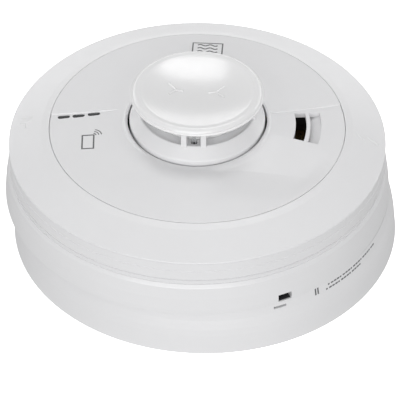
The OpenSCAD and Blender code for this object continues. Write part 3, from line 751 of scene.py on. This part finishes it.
def build_screen():
    """Fine woven cage round the smoke inlet."""
    low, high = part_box("insect_screen")
    z0, z1 = low.z / MM, high.z / MM
    radius = (high.x - low.x) / 2 / MM - SCREEN_INSET
    height = z1 - z0 - 2 * WEAVE_MARGIN
    verts, faces = [], []
    for i in range(WIRES):
        path = []
        for k in range(2 * HOOPS + 1):
            push = WEAVE_SWAY * math.sin(math.pi * (k / 2 + i))
            z = z0 + WEAVE_MARGIN + height * k / (2 * HOOPS)
            path.append((*polar(radius + push, 360 * i / WIRES), z))
        add_tube(verts, faces, path, WIRE_R, False)
    for k in range(HOOPS):
        z = z0 + WEAVE_MARGIN + height * (k + 0.5) / HOOPS
        path = []
        for i in range(2 * WIRES):
            push = -WEAVE_SWAY * math.sin(math.pi * (k + 0.5 + i / 2))
            path.append((*polar(radius + push, 360 * i / (2 * WIRES)), z))
        add_tube(verts, faces, path, WIRE_R, True)
    for z in (z0 + END_HOOP_Z, z1 - END_HOOP_Z):
        path = [(*polar(radius, 360 * i / END_HOOP_POINTS), z) for i in range(END_HOOP_POINTS)]
        add_tube(verts, faces, path, END_HOOP_R, True, 6)
    return mesh_from("woven_screen", verts, faces, WIRE_SHARP_ANGLE)


piece("woven_screen", build_screen(), MESH, "button", ["insect_screen"])


# ---------------------------------------------------------------- marks

RIM_R, RIM_Z = 68.0, 40.2
RIM_SINK = 0.03               # marks on the rim start this far below its cone


def annulus_z(x, y):
    """Height of the cone between the rim and the seam."""
    r = math.hypot(x, y)
    return RIM_Z + (RIM_R - r) * (SEAM_Z - RIM_Z) / (RIM_R - SEAM_R) - RIM_SINK


def dish_z(x, y):
    """Height of the cap's dish."""
    rim_r, rim_drop, depth = 19.4, 0.45, 3.1
    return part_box("button_cap")[1].z / MM - rim_drop - depth * (1 - (math.hypot(x, y) / rim_r) ** 2)


def arc_points(cx, cy, r, a0, a1, n=8):
    """Points along an arc about a centre, from angle a0 to a1."""
    arc = [polar(r, a0 + (a1 - a0) * i / n) for i in range(n + 1)]
    return [(cx + x, cy + y) for x, y in arc]


def lines_of(lines, width, height):
    """Open strokes of one width and height."""
    return [(points, width, height, False) for points in lines]


# Two arrowheads with short tails that point inwards, on the cap
CHEVRON_W, CHEVRON_H = 0.95, 0.3
chevrons = lines_of(([(-10.5, 5.9), (-7.8, 3.1), (-10.1, 0.0)], [(-7.8, 3.1), (-5.2, 2.6)],
                     [(9.3, 5.5), (6.5, 2.8), (9.6, -0.3)], [(6.5, 2.8), (3.8, 2.5)]), CHEVRON_W, CHEVRON_H)
marks("cap_chevrons", chevrons, dish_z, CAP_WHITE, "button")

# Direction arrow at the right of the rim, and an alignment mark at the left
RIM_MARK_H = 0.35
arrow = lines_of(([(56.9, 0.6), (60.6, -1.7)], [(61.4, 0.3), (65.2, -1.9)]), 1.0, RIM_MARK_H)
marks("rim_arrow", arrow, annulus_z, WHITE, "head")
bars = lines_of(([(-64.2, 4.6), (-60.2, 4.2)], [(-64.6, 2.2), (-59.8, 1.8)],
                 [(-62.6, 0.6), (-62.3, -1.6)]), 0.8, RIM_MARK_H)
marks("rim_alignment_mark", bars, annulus_z, WHITE, "head")

# Generic hand-held device with three waves
INK_H = 0.03
DEVICE_HALF_W, DEVICE_HALF_L, DEVICE_TURN, DEVICE_AT = 2.05, 3.6, 4, (-38.3, -12.85)
device = turned([(-DEVICE_HALF_W, -DEVICE_HALF_L), (DEVICE_HALF_W, -DEVICE_HALF_L),
                 (DEVICE_HALF_W, DEVICE_HALF_L), (-DEVICE_HALF_W, DEVICE_HALF_L)], DEVICE_TURN, *DEVICE_AT)
waves = lines_of([arc_points(-36.9, -9.4, r, 10, 80, 5) for r in (1.2, 2.2, 3.2)], 0.38, INK_H)
marks("device_pictogram", [(device, 0.55, INK_H, True)] + waves, fascia_z, INK, "head")

# Plain badge: a frame with three wavy lines
BADGE_FRAME = [(-4.4, 40.2), (-4.4, 47.2), (6.6, 47.2), (6.6, 40.2)]
WAVE_FROM, WAVE_L, WAVE_SWING, WAVE_ROWS = -2.6, 7.4, 0.45, (41.6, 43.7, 45.8)
badge = [(BADGE_FRAME, 0.5, INK_H, True)]
badge += lines_of([[(WAVE_FROM + WAVE_L * i / 12, y + WAVE_SWING * math.sin(TAU * i / 6)) for i in range(13)]
                   for y in WAVE_ROWS], 0.6, INK_H)
marks("smoke_badge", badge, fascia_z, INK, "head")

BAR_STEP, BAR_ROWS, BAR_SINK, BAR_H = 0.8, 3, 0.15, 0.02       # the step is in degrees
BAR_SHARP_ANGLE = 40


def on_wall(name, boxes, radius_at, material, body):
    """Printed bars on a wall round the plate's axis: each is (angle from, angle to, z from, z to)."""
    verts, faces = [], []
    for a0, a1, z0, z1 in boxes:
        n = max(2, int(abs(a1 - a0) / BAR_STEP))
        m = BAR_ROWS
        base = len(verts)
        for layer in (-BAR_SINK, BAR_H):
            for i in range(n + 1):
                for j in range(m + 1):
                    z = z0 + (z1 - z0) * j / m
                    x, y = polar(radius_at(z) + layer, a0 + (a1 - a0) * i / n)
                    verts.append((x, y, z))

        def at(layer, i, j):
            return base + (layer * (n + 1) + i) * (m + 1) + j

        for i in range(n):
            for j in range(m):
                faces.append((at(1, i, j), at(1, i + 1, j), at(1, i + 1, j + 1), at(1, i, j + 1)))
                faces.append((at(0, i, j), at(0, i, j + 1), at(0, i + 1, j + 1), at(0, i + 1, j)))
            faces.append((at(0, i, 0), at(0, i + 1, 0), at(1, i + 1, 0), at(1, i, 0)))
            faces.append((at(0, i, m), at(1, i, m), at(1, i + 1, m), at(0, i + 1, m)))
        for j in range(m):
            faces.append((at(0, 0, j), at(1, 0, j), at(1, 0, j + 1), at(0, 0, j + 1)))
            faces.append((at(0, n, j), at(0, n, j + 1), at(1, n, j + 1), at(1, n, j)))
    return piece(name, mesh_from(name, verts, faces, BAR_SHARP_ANGLE, False), material, body)


PLATE_WALL = ((0.0, 70.5), (1.5, 70.3), (4.4, 70.0), (7.4, 69.65), (9.9, 69.2), (12.0, 68.6), (13.4, 68.15),
              (17.5, 67.3))   # height and radius


def plate_radius(z):
    """Distance of the plate's wall from the plate's axis, at height z."""
    return line_y(PLATE_WALL, z)


# Two rows of short plain dashes, each fourth one shorter, and two upright bars
DASH_CELL, DASH_HALF_H = 1.25, 0.28
DASH_SHARE, SHORT_SHARE = 0.78, 0.5
DASH_ROWS = ((-47.6, -31.0, 14.4), (-46.7, -22.7, 15.9))       # first angle, last angle and height
BAR_Z = (14.2, 16.8)
dashes = []
for start, end, z in DASH_ROWS:
    a = start
    k = 0
    while a + DASH_CELL < end:
        dash = DASH_CELL * (DASH_SHARE if k % 4 else SHORT_SHARE)
        dashes.append((a, a + dash, z - DASH_HALF_H, z + DASH_HALF_H))
        a += DASH_CELL
        k += 1
on_wall("plate_rules", dashes, plate_radius, INK, "plate")
on_wall("alignment_bars", [(-51.75, -51.25, *BAR_Z), (-50.85, -50.35, *BAR_Z)], plate_radius, INK, "plate")


# ---------------------------------------------------------------- floor, lights and camera

FLOOR_HALF, FLOOR_GAP = 3.0, 0.00005


def make_floor():
    """A plain pale sheet with light of its own, just under the part."""
    mesh = bpy.data.meshes.new("floor")
    half, z = FLOOR_HALF, CAD_LOW.z - FLOOR_GAP
    mesh.from_pydata([(-half, -half, z), (half, -half, z), (half, half, z), (-half, half, z)], [],
                     [(0, 1, 2, 3)])
    n = Nodes("floor")
    paper = n.mix(n.spread(n.noise(90, 3), 0, 1), rgb(0.90, 0.90, 0.90), rgb(0.93, 0.93, 0.93))
    n.set(Base_Color=paper, Roughness=0.9, Specular_IOR_Level=0.1, Emission_Color=rgb(1, 1, 1),
          Emission_Strength=0.9)
    mesh.materials.append(n.material)
    floor = bpy.data.objects.new("floor", mesh)
    bpy.context.scene.collection.objects.link(floor)
    floor.visible_diffuse = False      # the grey world below lights the part's sides instead
    floor.visible_glossy = False


def area_light(name, location, target, size, power):
    data = bpy.data.lights.new(name, "AREA")
    data.shape = "RECTANGLE"
    data.size, data.size_y = size
    data.energy = power
    obj = bpy.data.objects.new(name, data)
    bpy.context.scene.collection.objects.link(obj)
    obj.location = location
    obj.rotation_euler = (Vector(target) - Vector(location)).to_track_quat("-Z", "Y").to_euler()
    return obj


HORIZON_BLEND = 0.05


def make_world(above, below):
    """A plain sky of one strength above the horizon and another below it."""
    world = bpy.data.worlds.new("studio")
    bpy.context.scene.world = world
    world.use_nodes = True
    tree = world.node_tree
    coord = tree.nodes.new("ShaderNodeTexCoord")
    split = tree.nodes.new("ShaderNodeSeparateXYZ")
    level = tree.nodes.new("ShaderNodeMapRange")
    level.inputs["From Min"].default_value = -HORIZON_BLEND
    level.inputs["From Max"].default_value = HORIZON_BLEND
    level.inputs["To Min"].default_value = below
    level.inputs["To Max"].default_value = above
    tree.links.new(coord.outputs["Generated"], split.inputs[0])
    tree.links.new(split.outputs["Z"], level.inputs["Value"])
    background = tree.nodes["Background"]
    background.inputs["Color"].default_value = rgb(1, 1, 1)
    tree.links.new(level.outputs["Result"], background.inputs["Strength"])


make_floor()
scene = bpy.context.scene
make_world(above=0.56, below=0.54)
MID = (0.0, 0.0, 0.03)                     # every light points here
# Name, place, width and height, power in watts
LIGHTS = (
    ("key", (0.02, 0.64, 1.42), (0.85, 0.5), 4.6),
    ("backdrop", (0.0, 1.9, 0.35), (2.6, 0.7), 7.3),
    ("backdrop_left", (-1.5, 1.2, 0.4), (1.2, 0.8), 4.9),
    ("backdrop_right", (1.5, 1.2, 0.4), (1.2, 0.8), 5.2),
    ("front_high", (0.0, -1.4, 1.2), (1.8, 0.8), 2.4),
    ("front_low", (-0.1, -1.8, 0.5), (2.0, 0.8), 18.2),
)
for light_name, light_at, light_size, watts in LIGHTS:
    area_light(light_name, light_at, MID, light_size, watts)
scene.view_settings.view_transform = "Standard"
scene.view_settings.look = "None"

CAMERA_AZIMUTH, CAMERA_ELEVATION = math.radians(3.5), math.radians(41.05)
CAMERA_DISTANCE = 1.0
AIM_LEFT, AIM_Z = 0.00182, 0.0101          # the aim, left of the plate's axis and above the ceiling face
SENSOR_MM, LENS_MM = 36.0, 244.35
AIM = Vector((-AIM_LEFT * math.cos(CAMERA_AZIMUTH), -AIM_LEFT * math.sin(CAMERA_AZIMUTH), AIM_Z))
camera_data = bpy.data.cameras.new("camera")
camera_data.sensor_width = SENSOR_MM
camera_data.lens = LENS_MM
camera_data.clip_start, camera_data.clip_end = 0.05, 20
camera = bpy.data.objects.new("camera", camera_data)
scene.collection.objects.link(camera)
reach = CAMERA_DISTANCE * math.cos(CAMERA_ELEVATION)
camera.location = AIM + Vector((reach * math.sin(CAMERA_AZIMUTH), -reach * math.cos(CAMERA_AZIMUTH),
                                CAMERA_DISTANCE * math.sin(CAMERA_ELEVATION)))
camera.rotation_euler = (AIM - camera.location).to_track_quat("-Z", "Y").to_euler()
scene.camera = camera
